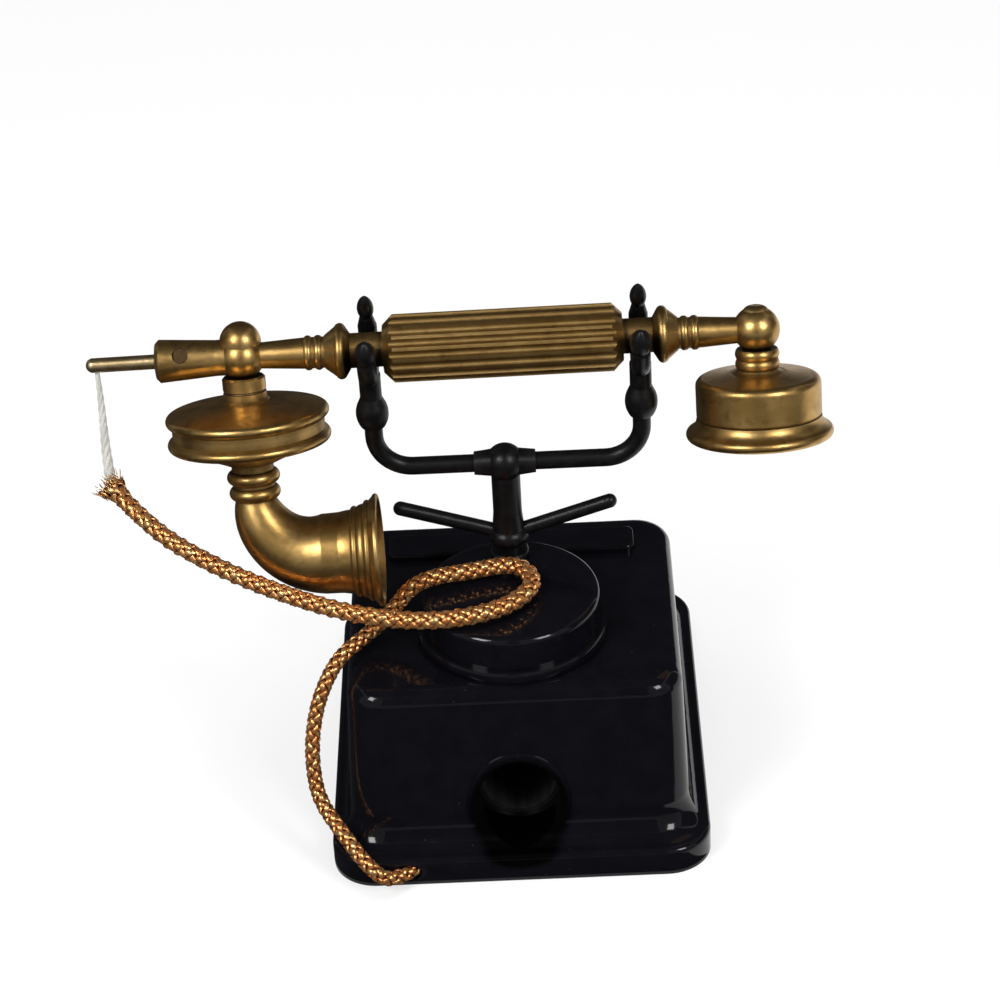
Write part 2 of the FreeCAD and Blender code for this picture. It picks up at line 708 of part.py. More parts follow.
def arm_holes(arm, start):
    """Socket for the tie rod and the upright rivet hole."""
    arm = arm.cut(rod(tie_rod_diameter + 2 * running_gap, (start - 1, 0, 0),
        (start + tie_rod_grip + running_gap, 0, 0)))
    return arm.cut(rod(rivet_diameter + 2 * running_gap, (ball_reach, 0, -ball_diameter),
        (ball_reach, 0, ball_diameter)))


receiver_arm = arm_holes(arm_piece(right_arm_start), right_arm_start)
save("receiver_arm", *settle(receiver_arm))

# The left arm carries a drooping stub with an end bore for the cord pin and a cross hole
stub_turn = Rotation(Vector(0, 1, 0), stub_droop)
stub = along_x(turned([
    (0, ball_radius * 0.5), (stub_root_diameter / 2, ball_radius * 0.5),
    (stub_root_diameter / 2, ball_radius + 0.2),
    (stub_end_diameter / 2, stub_length - 0.4), (stub_end_diameter / 2 - 0.4, stub_length),
    (0, stub_length)]))
stub_place = Placement(Vector(ball_reach, 0, 0), stub_turn)
stub.Placement = stub_place.multiply(stub.Placement)
left_arm = arm_holes(arm_piece(left_arm_start).fuse(stub), left_arm_start)
pin_start = stub_place.multVec(Vector(stub_length - pin_socket, 0, 0))
pin_mouth = stub_place.multVec(Vector(stub_length, 0, 0))
pin_tip = stub_place.multVec(Vector(stub_length + pin_reach, 0, 0))
left_arm = left_arm.cut(rod(pin_diameter + 2 * running_gap, pin_start, pin_tip))
hole_centre = stub_place.multVec(Vector(cross_hole_place, 0, 0))
hole_heading = Vector(0, -math.cos(math.radians(25)), math.sin(math.radians(25)))
hole_bottom = hole_centre + hole_heading * (pin_diameter / 2 + running_gap)
left_arm = left_arm.cut(rod(cross_hole, hole_centre, hole_centre + hole_heading * stub_end_diameter))
set_screw = rod(cross_hole - 2 * running_gap, hole_bottom, hole_bottom + hole_heading * set_screw_length)
cord_pin = rod(pin_diameter, pin_start, pin_tip)
cord_pin = cord_pin.fuse(Part.makeSphere(pin_diameter / 2, pin_tip))

# The left end is made pointing to +X and turned over to -X
mirror = FreeCAD.Matrix()
mirror.A11 = -1.0


def to_left_side(shape):
    return shape.transformGeometry(mirror)


save("transmitter_arm", *settle(to_left_side(left_arm)))
save("cord_pin", *settle(to_left_side(cord_pin)))
save("pin_screw", *settle(to_left_side(set_screw)))

# Dome-headed rivets through both balls into the necks
rivet_low = -ball_flat - rivet_grip
rivet = turned([
    (0, rivet_low), (rivet_diameter / 2, rivet_low), (rivet_diameter / 2, ball_flat),
    (rivet_head / 2, ball_flat),
    ((rivet_head * 0.38, ball_flat + rivet_head_height * 0.7), (0.2, ball_flat + rivet_head_height), "arc"),
    (0, ball_flat + rivet_head_height)])
rivets = []
for side in (-1, 1):
    copy = rivet.copy()
    copy.translate(Vector(side * ball_reach, 0, 0))
    rivets.append(copy)
save("arm_rivets", *settle(*rivets))

# Domed crown over the left rivet
crown_middle = Vector(-ball_reach, 0, crown_height)
crown = Part.makeSphere(crown_diameter / 2, crown_middle)
crown = crown.cut(Part.makeSphere(ball_radius + running_gap, Vector(-ball_reach, 0, 0)))
crown = crown.cut(rod(rivet_head + 0.2, (-ball_reach, 0, 0),
    (-ball_reach, 0, ball_flat + rivet_head_height + 0.1)))
crown = crown.cut(to_left_side(left_arm))
save("ball_crown", *settle(crown))

# Transmitter: two dished discs back to back, with a groove between their rims
speak_top = -ball_flat
cone_top = speak_top - speak_neck_height
rim_one_top = cone_top - disc_cone_rise
rim_one_low = rim_one_top - disc_rim
groove_z = rim_one_low - groove_half
disc_radius = disc_diameter / 2
neck_wide = speak_neck_diameter / 2
neck_line = speak_top - speak_neck_height * 0.55
upper_disc = turned([
    (0, speak_top), (neck_wide - 0.2, speak_top), (neck_wide, speak_top - 0.2), (neck_wide, neck_line),
    ((neck_wide - 0.22, neck_line - 0.15), (neck_wide, neck_line - 0.3), "arc"),
    (neck_wide, cone_top + 0.15), (neck_wide + 0.3, cone_top - 0.1),
    ((disc_radius * 0.6, cone_top - disc_cone_rise * 0.42), (disc_radius - 0.5, rim_one_top), "arc"),
    ((disc_radius, (rim_one_top + rim_one_low) / 2), (disc_radius - 0.35, rim_one_low), "arc"),
    (groove_diameter / 2, rim_one_low - 0.2), (groove_diameter / 2, groove_z), (0, groove_z)])
disc_socket_low = groove_z + disc_spigot_height
upper_disc = upper_disc.cut(rod(disc_spigot_diameter + 2 * running_gap, (0, 0, groove_z - 1),
    (0, 0, disc_socket_low)))
rivet_room = rod(
    rivet_diameter + 2 * speak_rivet_play, (0, 0, rivet_low - speak_rivet_play), (0, 0, speak_top + 1))
upper_disc = upper_disc.cut(rivet_room)
rim_two_top = groove_z - groove_half
rim_two_low = rim_two_top - disc_rim
horn_top = rim_two_low - lower_cone_drop
horn_core = horn_neck_diameter / 2
lower_disc = turned([
    (0, disc_socket_low), (disc_spigot_diameter / 2, disc_socket_low), (disc_spigot_diameter / 2, groove_z),
    (groove_diameter / 2, groove_z),
    (groove_diameter / 2, rim_two_top + 0.2), (disc_radius - 0.35, rim_two_top),
    ((disc_radius, (rim_two_top + rim_two_low) / 2), (disc_radius - 0.5, rim_two_low), "arc"),
    ((disc_radius * 0.55, rim_two_low - lower_cone_drop * 0.55), (horn_core + 0.6, horn_top), "arc"),
    (0, horn_top)])
horn_peg = 2.4
peg_length = 1.6
lower_disc = lower_disc.cut(rod(horn_peg + 2 * running_gap, (0, 0, horn_top - 1),
    (0, 0, horn_top + peg_length)))
speak_place = Vector(-ball_reach, 0, -speak_drop)
for name, piece in (("transmitter_upper", upper_disc), ("transmitter_lower", lower_disc)):
    piece.rotate(Vector(0, 0, 0), Vector(0, 1, 0), -speak_tilt)
    piece.translate(speak_place)
    save(name, *settle(piece))

# Mouthpiece: beaded neck, swelling elbow and a ringed bell that opens towards the receiver
ring_one_top = horn_top - horn_plain
ring_two_top = ring_one_top - horn_ring_height - 0.3
horn_low = ring_two_top - horn_ring_height
horn_radius = horn_ring_diameter / 2
horn = turned([
    (0, horn_top + peg_length - 0.1), (horn_peg / 2, horn_top + peg_length - 0.1), (horn_peg / 2, horn_top),
    (horn_core, horn_top),
    (horn_core, ring_one_top), ((horn_radius, ring_one_top - horn_ring_height / 2),
    (horn_core, ring_one_top - horn_ring_height), "arc"),
    (horn_core, ring_two_top), ((horn_radius - 0.1, ring_two_top - horn_ring_height / 2),
    (horn_root_diameter / 2, horn_low), "arc"), (0, horn_low)])
elbow_steps = 5
elbow_rings = []
for step in range(elbow_steps):
    share = step / (elbow_steps - 1)
    angle = share * math.pi / 2
    middle = Vector(horn_bend * (1 - math.cos(angle)), 0, horn_low - horn_bend * math.sin(angle))
    heading = Vector(math.sin(angle), 0, -math.cos(angle))
    swelling = (horn_throat_diameter - horn_root_diameter) * share ** horn_swell
    radius = (horn_root_diameter + swelling) / 2
    elbow_rings.append(Part.Wire(Part.makeCircle(radius, middle, heading)))
horn = horn.fuse(Part.makeLoft(elbow_rings, True, False))
throat = horn_throat_diameter / 2
ring_one = bell_ring_one / 2
ring_two_rim = bell_ring_two / 2
lip_radius = bell_lip_diameter / 2
lip_start = bell_length - bell_lip_width
bell = turned([
    (0, 0), (throat, 0), (throat + 0.05, bell_length * 0.3),
    ((throat + 0.18, bell_length * 0.42), (ring_one - 0.37, bell_length * 0.513), "arc"),
    ((ring_one, bell_length * 0.56), (ring_one - 0.12, bell_length * 0.618), "arc"),
    ((ring_one + 0.13, bell_length * 0.684), (ring_two_rim - 0.4, bell_length * 0.743), "arc"),
    ((ring_two_rim, bell_length * 0.783), (ring_two_rim - 0.05, bell_length * 0.836), "arc"),
    ((ring_two_rim + 0.3, bell_length * 0.888), (lip_radius - 0.25, lip_start), "arc"),
    ((lip_radius, bell_length - bell_lip_width / 2), (lip_radius - 0.25, bell_length), "arc"),
    (0, bell_length)])
bell_hollow = turned([
    (0, bell_length - bell_depth), (bell_depth_diameter / 2, bell_length - bell_depth),
    ((bell_mouth_diameter * 0.31, bell_length - bell_depth * 0.45), (bell_mouth_diameter / 2, bell_length),
    "arc"), (bell_mouth_diameter / 2, bell_length + 1), (0, bell_length + 1)])
bell_place = Placement(Vector(horn_bend, 0, horn_low - horn_bend), lay_along)
for piece in (bell, bell_hollow):
    piece.Placement = bell_place
horn = horn.fuse(bell).cut(bell_hollow)
horn.rotate(Vector(0, 0, 0), Vector(0, 1, 0), -speak_tilt)
horn.translate(speak_place)
save("mouthpiece_horn", *settle(horn))

# Receiver: ringed neck on a shouldered cup, closed by a flared ear cap
hear_top = -ball_flat
ring_two = hear_top - hear_ring_height
shoulder_top = ring_two - hear_ring_height
cup_radius = cup_diameter / 2
shoulder_low = shoulder_top - cup_shoulder_drop
cup_low = shoulder_low - cup_side
hear_core = hear_neck_diameter / 2 - 0.2
cup = turned([
    (0, hear_top), (hear_core, hear_top), ((hear_neck_diameter / 2, hear_top - hear_ring_height / 2),
    (hear_core, ring_two), "arc"),
    ((hear_neck_diameter / 2, ring_two - hear_ring_height / 2), (hear_core, shoulder_top), "arc"),
    ((hear_core + 0.35, shoulder_top - 0.35), (hear_core + 0.9, shoulder_top - 0.45), "arc"),
    (cup_radius - cup_edge, shoulder_low),
    ((cup_radius - cup_edge * 0.28, shoulder_low - cup_edge * 0.28),
     (cup_radius, shoulder_low - cup_edge), "arc"),
    (cup_radius, cup_low + 0.3), (cup_radius - 0.15, cup_low), (0, cup_low)])
cup = cup.cut(rod(cup_diameter - 2 * cup_wall, (0, 0, cup_low - 1), (0, 0, shoulder_low - cup_wall)))
cup = cup.cut(rod(rivet_diameter + 2 * running_gap, (0, 0, rivet_low), (0, 0, hear_top + 1)))
cap_low = cup_low - cap_height
cap_radius = cap_diameter / 2
spigot_radius = cup_radius - cup_wall - running_gap
cap = turned([
    (0, cup_low - cap_height + cap_dish + 1.0), (spigot_radius - 1.0, cup_low),
    (spigot_radius - 1.0, cup_low + cap_spigot), (spigot_radius, cup_low + cap_spigot),
    (spigot_radius, cup_low),
    (cup_radius, cup_low), ((cup_radius + 0.25, cup_low - cap_height * 0.3),
    (cap_radius - 0.2, cup_low - cap_height * 0.55), "arc"),
    ((cap_radius, cup_low - cap_height * 0.75), (cap_radius - 0.5, cap_low), "arc"),
    (cap_radius - cap_lip, cap_low), (0, cap_low + cap_dish)])
cap = cap.cut(rod(ear_hole, (0, 0, cap_low - 1), (0, 0, cup_low + 1)))
for count in range(ear_ring_count):
    angle = 2 * math.pi * count / ear_ring_count
    spot_x = ear_ring_radius * math.cos(angle)
    spot_y = ear_ring_radius * math.sin(angle)
    cap = cap.cut(rod(ear_ring_hole, (spot_x, spot_y, cap_low - 1), (spot_x, spot_y, cup_low + 1)))
for name, piece in (("receiver_cup", cup), ("receiver_cap", cap)):
    piece.translate(Vector(ball_reach, 0, 0))
    save(name, *settle(piece))

# Cord: bare core thread below the pin, then the braided sheath down to the rim
tip_rest = resting.multVec(Vector(-pin_tip.x, pin_tip.y, pin_tip.z))
thread_x, thread_y, thread_top = tip_rest.x + pin_diameter * 0.2, tip_rest.y, tip_rest.z
thread_low = thread_top - thread_length
thread = soft_tube("core_thread", [
    (thread_x, thread_y, thread_top), (thread_x + 0.05, thread_y - 0.1, thread_top - thread_length * 0.3),
    (thread_x - 0.1, thread_y - 0.35, thread_top - thread_length * 0.66),
    (thread_x - 0.05, thread_y - 0.6, thread_low)], thread_diameter)
save("core_thread", thread)

drum_lie = drum_top + cord_diameter / 2 + seat_gap
top_lie = box_height + cord_diameter / 2 + seat_gap
sheath_top = thread_low - thread_gap - cord_diameter * 0.45
sheath_route = [
    (thread_x + 0.15, thread_y - 1.1, sheath_top),
    (-39.2, -5.6, 35.7),
    (-32.4, -8.7, 32.55),
    (-24.6, -11.5, 30.15),
    (-16.6, -14.0, 28.7),
    (-8.4, -14.6, drum_lie + 0.15),
    (-1.2, -12.7, drum_lie),
    (2.5, -8.9, drum_lie),
    (2.3, -5.7, drum_lie),
    (0.2, -3.75, drum_lie),
    (-4.6, -5.0, drum_lie),
    (-8.4, -6.1, drum_lie + 0.3),
    (-10.9, -6.8, 27.3),
    (-12.8, -7.3, 25.0),
    (-14.6, -8.3, 23.4),
    (-17.0, -10.2, top_lie + 0.45),
    (-19.4, -13.0, top_lie),
    (-21.5, -15.1, 18.8),
    (-22.6, -16.5, 14.3),
    (-22.7, -17.6, 9.6),
    (-21.9, -19.6, 7.3),
    (-19.6, -22.8, 5.7),
    (-17.0, -26.6, 4.2),
    tuple(socket_mouth - socket_heading * 2.6),
    tuple(socket_end - socket_heading * 0.1)]
sheath = soft_tube("cord_sheath", sheath_route, cord_diameter)
save("cord_sheath", sheath)
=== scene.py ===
import math
import random

import bpy
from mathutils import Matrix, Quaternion, Vector


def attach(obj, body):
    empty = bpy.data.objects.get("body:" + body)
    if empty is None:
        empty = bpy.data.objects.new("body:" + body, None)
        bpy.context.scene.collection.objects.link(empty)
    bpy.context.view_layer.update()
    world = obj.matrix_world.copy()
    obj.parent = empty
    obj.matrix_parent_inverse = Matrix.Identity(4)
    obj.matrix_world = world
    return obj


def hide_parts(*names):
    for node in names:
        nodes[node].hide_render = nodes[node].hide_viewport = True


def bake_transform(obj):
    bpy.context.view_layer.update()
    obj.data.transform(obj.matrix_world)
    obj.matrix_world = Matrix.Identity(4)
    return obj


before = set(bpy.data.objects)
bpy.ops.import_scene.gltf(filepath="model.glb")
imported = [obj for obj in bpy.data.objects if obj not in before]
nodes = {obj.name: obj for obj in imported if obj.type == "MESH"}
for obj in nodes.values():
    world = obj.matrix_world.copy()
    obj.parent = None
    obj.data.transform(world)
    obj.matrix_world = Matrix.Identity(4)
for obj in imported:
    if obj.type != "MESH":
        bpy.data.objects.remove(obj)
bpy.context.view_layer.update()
scene = bpy.context.scene
scene.view_settings.view_transform = "Standard"
bpy.ops.object.select_all(action="DESELECT")
print("frame loaded:", len(nodes), "nodes")


view = {
    "place": (0.00616, -0.29806, 0.23089),
    "heading": (-0.0194, 0.8338, -0.5517),
    "roll": -3.24,  # degrees, the photograph hangs a little to one side
    "lens": 115.85,
    "sensor": 36,
    "nearest": 0.01,
}
cameraData = bpy.data.cameras.new("camera")
cameraData.lens = view["lens"]
cameraData.sensor_width = view["sensor"]
cameraData.clip_start = view["nearest"]
camera = bpy.data.objects.new("camera", cameraData)
scene.collection.objects.link(camera)
camera.location = view["place"]
camera.rotation_mode = "QUATERNION"
aim = Vector(view["heading"]).to_track_quat("-Z", "Y")
camera.rotation_quaternion = aim @ Quaternion((0, 0, 1), math.radians(view["roll"]))
scene.camera = camera


def feed(tree, value, socket):
    # a socket is linked, anything else becomes the constant value
    if isinstance(value, bpy.types.NodeSocket):
        tree.links.new(value, socket)
    else:
        socket.default_value = value


def put(tree, kind, x, y, inputs=None, **settings):
    # one shader node with its settings, constants and links
    node = tree.nodes.new(kind)
    node.location = (x, y)
    for name, value in settings.items():
        setattr(node, name, value)
    for name, value in (inputs or {}).items():
        feed(tree, value, node.inputs[name])
    return node


def combine(tree, operation, x, y, first, second, clamp=False):
    # arithmetic on two sockets or numbers
    values = {0: first, 1: second}
    return put(tree, "ShaderNodeMath", x, y, values, operation=operation, use_clamp=clamp).outputs[0]


def seenDirectly(tree, x, y):
    # 1 for camera rays, and 1 for camera, glossy and transmission rays
    rays = put(tree, "ShaderNodeLightPath", x, y).outputs
    seen = combine(tree, "MAXIMUM", x + 180, y, rays["Is Camera Ray"], rays["Is Glossy Ray"])
    seen = combine(tree, "MAXIMUM", x + 340, y, seen, rays["Is Transmission Ray"])
    return rays["Is Camera Ray"], seen


stage = {
    "fill": 0.46,  # world seen by diffuse rays
    "frontGlow": 0.30,  # what glossy rays see behind the camera
    "frontFade": (-0.55, 0.35),  # from there to full white, as the Y of a direction
    "floorSize": 3.0,
    "floorColour": (0.83, 0.83, 0.83, 1),
    "floorWhite": 0.62,  # share of glow in the floor that the camera sees
    "floorGlow": 1.04,
    "cardColour": (0.032, 0.031, 0.034, 1),
    "cards": {
        # place, turn in degrees, width and height
        "floorCard": ((-0.41475, 0.1, 0.0004), (0, 0, 0), (0.8705, 1.9)),
        "frontFloorCard": ((0.43525, -0.44, 0.0004), (0, 0, 0), (0.8295, 0.82)),
        "backCard": ((0, 0.62, 0.42), (90, 0, 0), (1.5, 0.84)),
        "leftCard": ((-0.78, 0.18, 0.40), (90, 0, 90), (0.8, 0.8)),
        "rightCard": ((0.78, 0.18, 0.40), (90, 0, 90), (0.8, 0.8)),
        "topCard": ((0, 0.10, 0.90), (0, 0, 0), (1.5, 1.2)),
        "frontCard": ((0, -0.95, 0.90), (90, 0, 0), (0.26, 1.5)),
    },
    "lamps": [
        # azimuth from the front, elevation, distance, width, height, power
        (-44, 42, 0.50, 0.13, 0.17, 1.25),
        (42, 40, 0.50, 0.13, 0.17, 1.05),
    ],
    "lampAim": (0, 0, 0.03),
    "top": {"place": (0, 0.05, 0.75), "size": 0.55, "power": 2.2},
}
white = (1, 1, 1, 1)

world = bpy.data.worlds.new("studio")
scene.world = world
world.use_nodes = True
tree = world.node_tree
tree.nodes.clear()
cameraRay, direct = seenDirectly(tree, -900, 300)
coordinate = put(tree, "ShaderNodeTexCoord", -1100, -100)
split = put(tree, "ShaderNodeSeparateXYZ", -920, -100, {0: coordinate.outputs["Generated"]})
fadeStart, fadeEnd = stage["frontFade"]
frontToBack = put(tree, "ShaderNodeMapRange", -740, -100, {
    "Value": split.outputs["Y"], "From Min": fadeStart, "From Max": fadeEnd,
    "To Min": stage["frontGlow"], "To Max": 1.0}, interpolation_type="SMOOTHSTEP")
cameraWhite = combine(tree, "MAXIMUM", -540, -60, frontToBack.outputs["Result"], cameraRay)
soft = put(tree, "ShaderNodeBackground", -300, 0, {"Color": white, "Strength": stage["fill"]})
clear = put(tree, "ShaderNodeBackground", -300, -160, {"Color": white, "Strength": cameraWhite})
pick = put(tree, "ShaderNodeMixShader", -80, 0, {0: direct, 1: soft.outputs[0], 2: clear.outputs[0]})
put(tree, "ShaderNodeOutputWorld", 120, 0, {"Surface": pick.outputs[0]})

bpy.ops.mesh.primitive_plane_add(size=stage["floorSize"], location=(0, 0, 0))
floor = bpy.context.object
floor.name = "floor"
paper = bpy.data.materials.new("paper")
paper.use_nodes = True
tree = paper.node_tree
tree.nodes.clear()
direct = seenDirectly(tree, -900, 200)[1]
share = combine(tree, "MULTIPLY", -360, 200, direct, stage["floorWhite"])
matt = put(tree, "ShaderNodeBsdfDiffuse", -360, 0, {"Color": stage["floorColour"]})
glow = put(tree, "ShaderNodeEmission", -360, -140, {"Color": white, "Strength": stage["floorGlow"]})
both = put(tree, "ShaderNodeMixShader", -120, 0, {0: share, 1: matt.outputs[0], 2: glow.outputs[0]})
put(tree, "ShaderNodeOutputMaterial", 80, 0, {"Surface": both.outputs[0]})
floor.data.materials.append(paper)

# dark cards around the object, only for reflections
velvet = bpy.data.materials.new("velvet")
velvet.use_nodes = True
cloth = velvet.node_tree.nodes["Principled BSDF"]
cloth.inputs["Base Color"].default_value = (0, 0, 0, 1)
cloth.inputs["Specular IOR Level"].default_value = 0
cloth.inputs["Emission Color"].default_value = stage["cardColour"]
cloth.inputs["Emission Strength"].default_value = 1
for name, (place, turn, size) in stage["cards"].items():
    turned = [math.radians(angle) for angle in turn]
    bpy.ops.mesh.primitive_plane_add(size=1, location=place, rotation=turned)
    card = bpy.context.object
    card.name = name
    card.scale = (*size, 1)
    bpy.ops.object.transform_apply(rotation=True, scale=True)
    card.data.materials.append(velvet)
    card.visible_camera = False
    card.visible_diffuse = False
    card.visible_shadow = False
    card.visible_transmission = False

for count, (azimuth, elevation, distance, width, height, power) in enumerate(stage["lamps"]):
    lampData = bpy.data.lights.new("lamp%d" % (count + 1), "AREA")
    lampData.shape = "RECTANGLE"
    lampData.size = width
    lampData.size_y = height
    lampData.energy = power
    lamp = bpy.data.objects.new(lampData.name, lampData)
    scene.collection.objects.link(lamp)
    turn, rise = math.radians(azimuth), math.radians(elevation)
    level = math.cos(rise)
    offset = Vector((math.sin(turn) * level, -math.cos(turn) * level, math.sin(rise)))
    lamp.location = Vector(stage["lampAim"]) + offset * distance
    lamp.rotation_euler = (-offset).to_track_quat("-Z", "Y").to_euler()
topData = bpy.data.lights.new("topLamp", "AREA")
topData.size = stage["top"]["size"]
topData.energy = stage["top"]["power"]
topLamp = bpy.data.objects.new("topLamp", topData)
scene.collection.objects.link(topLamp)
topLamp.location = stage["top"]["place"]
topLamp.visible_glossy = False
print("camera and stage ready")


def effect(name, ins, outs):
    # a node group with the sockets to read from and those to fill
    group = bpy.data.node_groups.new(name, "ShaderNodeTree")
    for label, value in ins.items():
        socket = group.interface.new_socket(label, in_out="INPUT", socket_type="NodeSocketFloat")
        socket.default_value = value
    for label in outs:
        group.interface.new_socket(label, in_out="OUTPUT", socket_type="NodeSocketFloat")
    given = put(group, "NodeGroupInput", -900, 0).outputs
    wanted = put(group, "NodeGroupOutput", 500, 0).inputs
    return group, given, wanted


def objectPlace(tree, x, y):
    return put(tree, "ShaderNodeTexCoord", x, y).outputs["Object"]


# cloudy tarnish, two sizes of noise
finerNoise = 6.5
mottle, given, wanted = effect("mottle", {"Scale": 300, "Low": 0.35, "High": 0.65}, ["Mask", "Fine"])
spot = objectPlace(mottle, -900, 240)
cloud = put(mottle, "ShaderNodeTexNoise", -600, 200, {
    "Vector": spot, "Scale": given["Scale"], "Detail": 4, "Roughness": 0.55})
level = put(mottle, "ShaderNodeMapRange", -300, 200, {
    "Value": cloud.outputs["Fac"], "From Min": given["Low"], "From Max": given["High"],
}, interpolation_type="SMOOTHSTEP")
feed(mottle, level.outputs["Result"], wanted["Mask"])
smaller = combine(mottle, "MULTIPLY", -780, -160, given["Scale"], finerNoise)
grainy = put(mottle, "ShaderNodeTexNoise", -600, -160, {
    "Vector": spot, "Scale": smaller, "Detail": 3, "Roughness": 0.6})
feed(mottle, grainy.outputs["Fac"], wanted["Fine"])

# darkening in corners, grooves and gaps: dirt and patina on most finishes, painted shade on the collar necks,
# the sharpener throat and between the braid's strands
recessDirtAndShade, given, wanted = effect("recessDirtAndShade", {"Reach": 0.001, "Gain": 1.6}, ["Mask"])
corner = put(recessDirtAndShade, "ShaderNodeAmbientOcclusion", -600, 0, {"Distance": given["Reach"]}, samples=12)
closed = combine(recessDirtAndShade, "SUBTRACT", -380, 0, 1, corner.outputs["AO"])
strong = combine(recessDirtAndShade, "MULTIPLY", -200, 0, closed, given["Gain"], clamp=True)
feed(recessDirtAndShade, strong, wanted["Mask"])

# edges that hands and cloths have rubbed bright
rubbed, given, wanted = effect("rubbed", {"Reach": 0.0004, "Gain": 1.5, "Scale": 900}, ["Mask"])
inner = put(rubbed, "ShaderNodeAmbientOcclusion", -600, 0, {
    "Distance": given["Reach"]}, samples=12, inside=True, only_local=True)
sharp = combine(rubbed, "SUBTRACT", -380, 0, 1, inner.outputs["AO"])
patchy = put(rubbed, "ShaderNodeTexNoise", -600, 260, {
    "Vector": objectPlace(rubbed, -900, 260), "Scale": given["Scale"], "Detail": 3})
worn = combine(rubbed, "MULTIPLY", -200, 120, sharp, patchy.outputs["Fac"])
strong = combine(rubbed, "MULTIPLY", 0, 60, worn, given["Gain"], clamp=True)
feed(rubbed, strong, wanted["Mask"])

# dust specks and fine hairline scratches
speck = {
    "rare": 0.86,  # share of the cells that stay clean
    "hairTurn": (0.3, 0.9, 0.6),
    "hairStretch": (1, 1, 0.06),
    "hairFrom": 0.62,
    "hairTo": 0.74,
}
specks, given, wanted = effect(
    "specks", {"Scale": 900, "Size": 0.12, "Scratch Scale": 260}, ["Dust", "Scratch"])
spot = objectPlace(specks, -900, 200)
cells = put(specks, "ShaderNodeTexVoronoi", -600, 200, {
    "Vector": spot, "Scale": given["Scale"], "Randomness": 1})
small = combine(specks, "LESS_THAN", -380, 200, cells.outputs["Distance"], given["Size"])
chance = put(specks, "ShaderNodeSeparateColor", -380, 40, {0: cells.outputs["Color"]})
few = combine(specks, "GREATER_THAN", -200, 40, chance.outputs[0], speck["rare"])
feed(specks, combine(specks, "MULTIPLY", 0, 160, small, few), wanted["Dust"])
drawn = put(specks, "ShaderNodeMapping", -700, -220, {
    "Vector": spot, "Rotation": speck["hairTurn"], "Scale": speck["hairStretch"]})
hair = put(specks, "ShaderNodeTexNoise", -480, -220, {
    "Vector": drawn.outputs[0], "Scale": given["Scratch Scale"], "Detail": 5, "Roughness": 0.7})
thin = put(specks, "ShaderNodeMapRange", -220, -220, {
    "Value": hair.outputs["Fac"], "From Min": speck["hairFrom"], "From Max": speck["hairTo"]})
feed(specks, thin.outputs["Result"], wanted["Scratch"])

# painted shade round the front opening, which runs along Y: the lip round it is darkened near black, as the
# hole is
entry, given, wanted = effect(
    "entry", {"Height": 0.0073, "Unshaded": 0.0062, "Black": 0.0052, "Depth": -0.012}, ["Mask"])
axes = put(entry, "ShaderNodeSeparateXYZ", -720, 240, {0: objectPlace(entry, -900, 240)}).outputs
above = combine(entry, "SUBTRACT", -540, 120, axes["Z"], given["Height"])
flat = put(entry, "ShaderNodeCombineXYZ", -360, 200, {"X": axes["X"], "Z": above})
away = put(entry, "ShaderNodeVectorMath", -180, 200, {0: flat.outputs[0]}, operation="LENGTH")
fade = put(entry, "ShaderNodeMapRange", 0, 200, {
    "Value": away.outputs["Value"], "From Min": given["Unshaded"], "From Max": given["Black"],
}, interpolation_type="SMOOTHSTEP")
front = combine(entry, "LESS_THAN", 0, -60, axes["Y"], given["Depth"])
holeShadeMask = combine(entry, "MULTIPLY", 240, 100, fade.outputs["Result"], front)
feed(entry, holeShadeMask, wanted["Mask"])


def newMaterial(name, **sockets):
    material = bpy.data.materials.new(name)
    material.use_nodes = True
    shader = material.node_tree.nodes["Principled BSDF"]
    for label, value in sockets.items():
        shader.inputs[label.replace("_", " ")].default_value = value
    return material, material.node_tree, shader


def use(tree, group, x, y, **values):
    # the outputs of a node group
    node = put(tree, "ShaderNodeGroup", x, y)
    node.node_tree = group
    for label, value in values.items():
        node.inputs[label.replace("_", " ")].default_value = value
    return node.outputs


def scaled(tree, x, y, socket, factor):
    return combine(tree, "MULTIPLY", x, y, socket, factor, clamp=True)


def spread(tree, x, y, socket, low, high):
    values = {"Value": socket, "To Min": low, "To Max": high}
    return put(tree, "ShaderNodeMapRange", x, y, values).outputs["Result"]


def layered(tree, ground, coats):
    # colours laid over the ground colour, each by its mask and the strength of that mask
    colour = (*ground, 1)
    for count, (mask, strength, coat) in enumerate(coats):
        x = 200 * count - 1000
        share = mask if strength == 1 else scaled(tree, x, 120, mask, strength)
        mix = put(tree, "ShaderNodeMix", x + 180, 300, data_type="RGBA")
        feed(tree, share, mix.inputs[0])
        feed(tree, colour, mix.inputs[6])
        feed(tree, (*coat, 1), mix.inputs[7])
        colour = mix.outputs[2]
    return colour


def dress(tree, shader, colour, height, strength, distance, rough=None):
    # colour, bump and roughness of one material
    feed(tree, colour, shader.inputs["Base Color"])
    bump = put(tree, "ShaderNodeBump", -200, -300, {
        "Strength": strength, "Distance": distance, "Height": height})
    feed(tree, bump.outputs[0], shader.inputs["Normal"])
    if rough:
        feed(tree, rough, shader.inputs["Roughness"])


brassLook = {
    "bright": (0.61, 0.39, 0.14),
    "middle": (0.47, 0.285, 0.09),
    "brown": (0.21, 0.11, 0.036),
    "grimeAndShade": (0.03, 0.017, 0.008),
    "rubbed": (0.70, 0.49, 0.22),
}
paleLook = {
    "bright": (0.74, 0.58, 0.33),
    "middle": (0.56, 0.41, 0.20),
    "brown": (0.30, 0.19, 0.08),
    "grimeAndShade": (0.09, 0.055, 0.025),
    "rubbed": (0.85, 0.70, 0.45),
}


